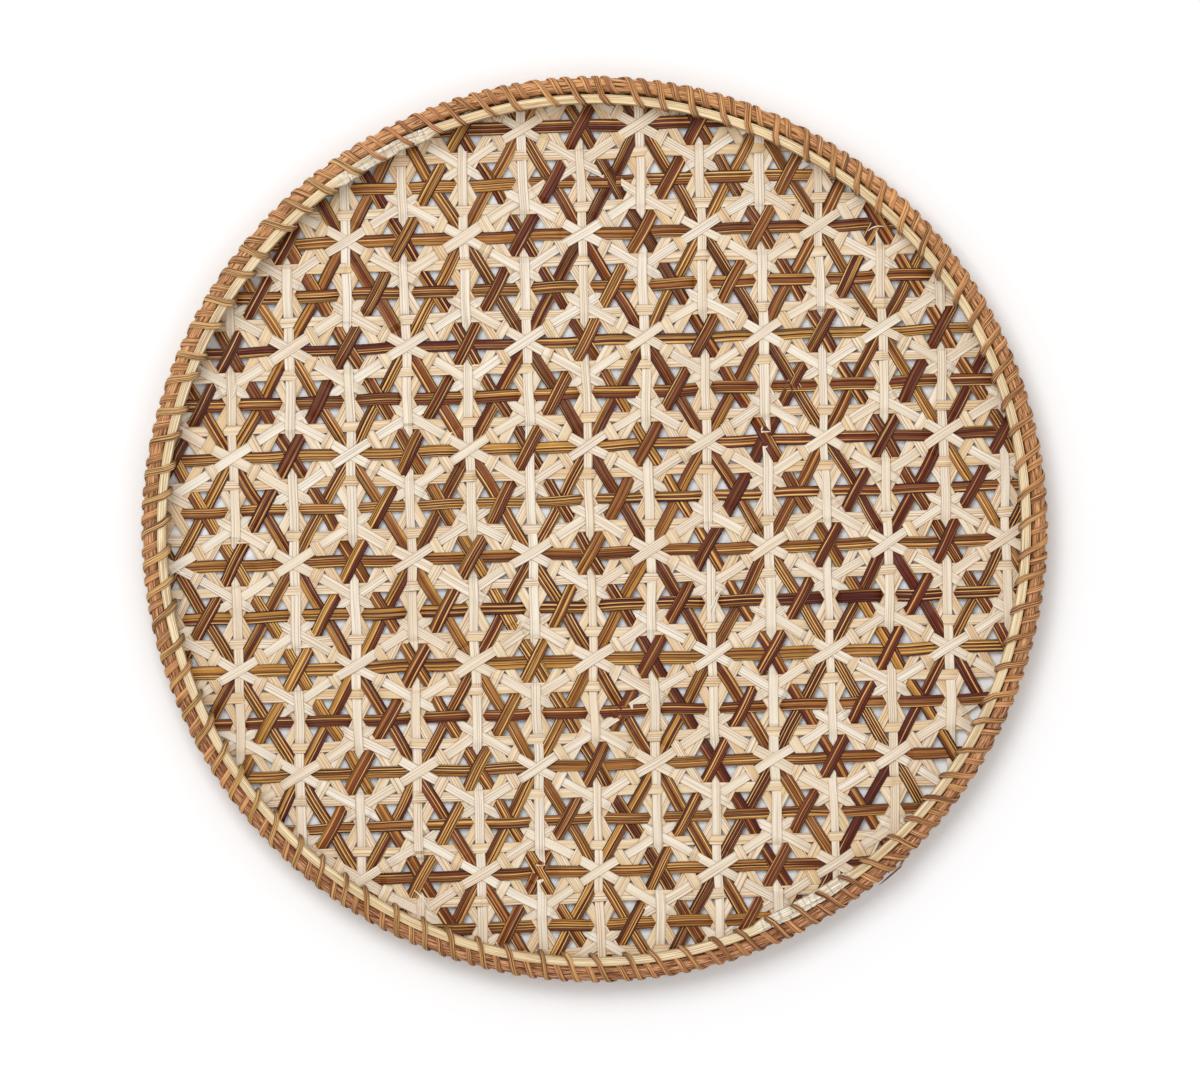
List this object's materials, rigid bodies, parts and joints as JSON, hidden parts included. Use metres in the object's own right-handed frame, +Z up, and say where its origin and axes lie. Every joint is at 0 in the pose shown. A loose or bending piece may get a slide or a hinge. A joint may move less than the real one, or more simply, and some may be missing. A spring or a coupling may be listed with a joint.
{
  "type": "winnowing basket",
  "caption": "Shallow round winnowing basket: a flat mat of light and dark bamboo strips woven in an open star pattern, held in a low lashed hoop rim.",
  "frame": {"origin": "middle of the tray at the underside of the woven mat, on which the basket rests", "axes": "+Z up, out of the open side of the tray; +X to the right and +Y away from the viewer along the weave's rows as seen from above"},
  "size_m": [0.45, 0.45, 0.0231],
  "materials": {
    "base_bamboo": "satin straw-coloured split bamboo",
    "dark_bamboo": "satin stained bamboo skin, golden ochre to maroon with dark lengthwise lines",
    "white_bamboo": "matte cream split bamboo",
    "hoop_bamboo": "satin pale bamboo with fine lengthwise grain",
    "band_bamboo": "satin aged bamboo",
    "rim_cane": "satin reddish-tan rattan with fine fibre streaks",
    "lashing_rattan": "satin orange-brown flat rattan"
  },
  "bodies": {
    "root": {"base_strips_0": "base_bamboo", "base_strips_60": "base_bamboo", "base_strips_120": "base_bamboo", "dark_low_strips_0": "dark_bamboo", "dark_low_strips_60": "dark_bamboo", "dark_low_strips_120": "dark_bamboo", "dark_high_strips_0": "dark_bamboo", "dark_high_strips_60": "dark_bamboo", "dark_high_strips_120": "dark_bamboo", "star_strips_30": "white_bamboo", "star_strips_90": "white_bamboo", "star_strips_150": "white_bamboo", "inner_hoop_1": "hoop_bamboo", "inner_hoop_2": "hoop_bamboo", "outer_band": "band_bamboo", "rim_cane_1": "rim_cane", "rim_cane_2": "rim_cane", "lashing_1": "lashing_rattan", "lashing_2": "lashing_rattan", "lashing_3": "lashing_rattan", "lashing_4": "lashing_rattan"}
  },
  "joints": []
}
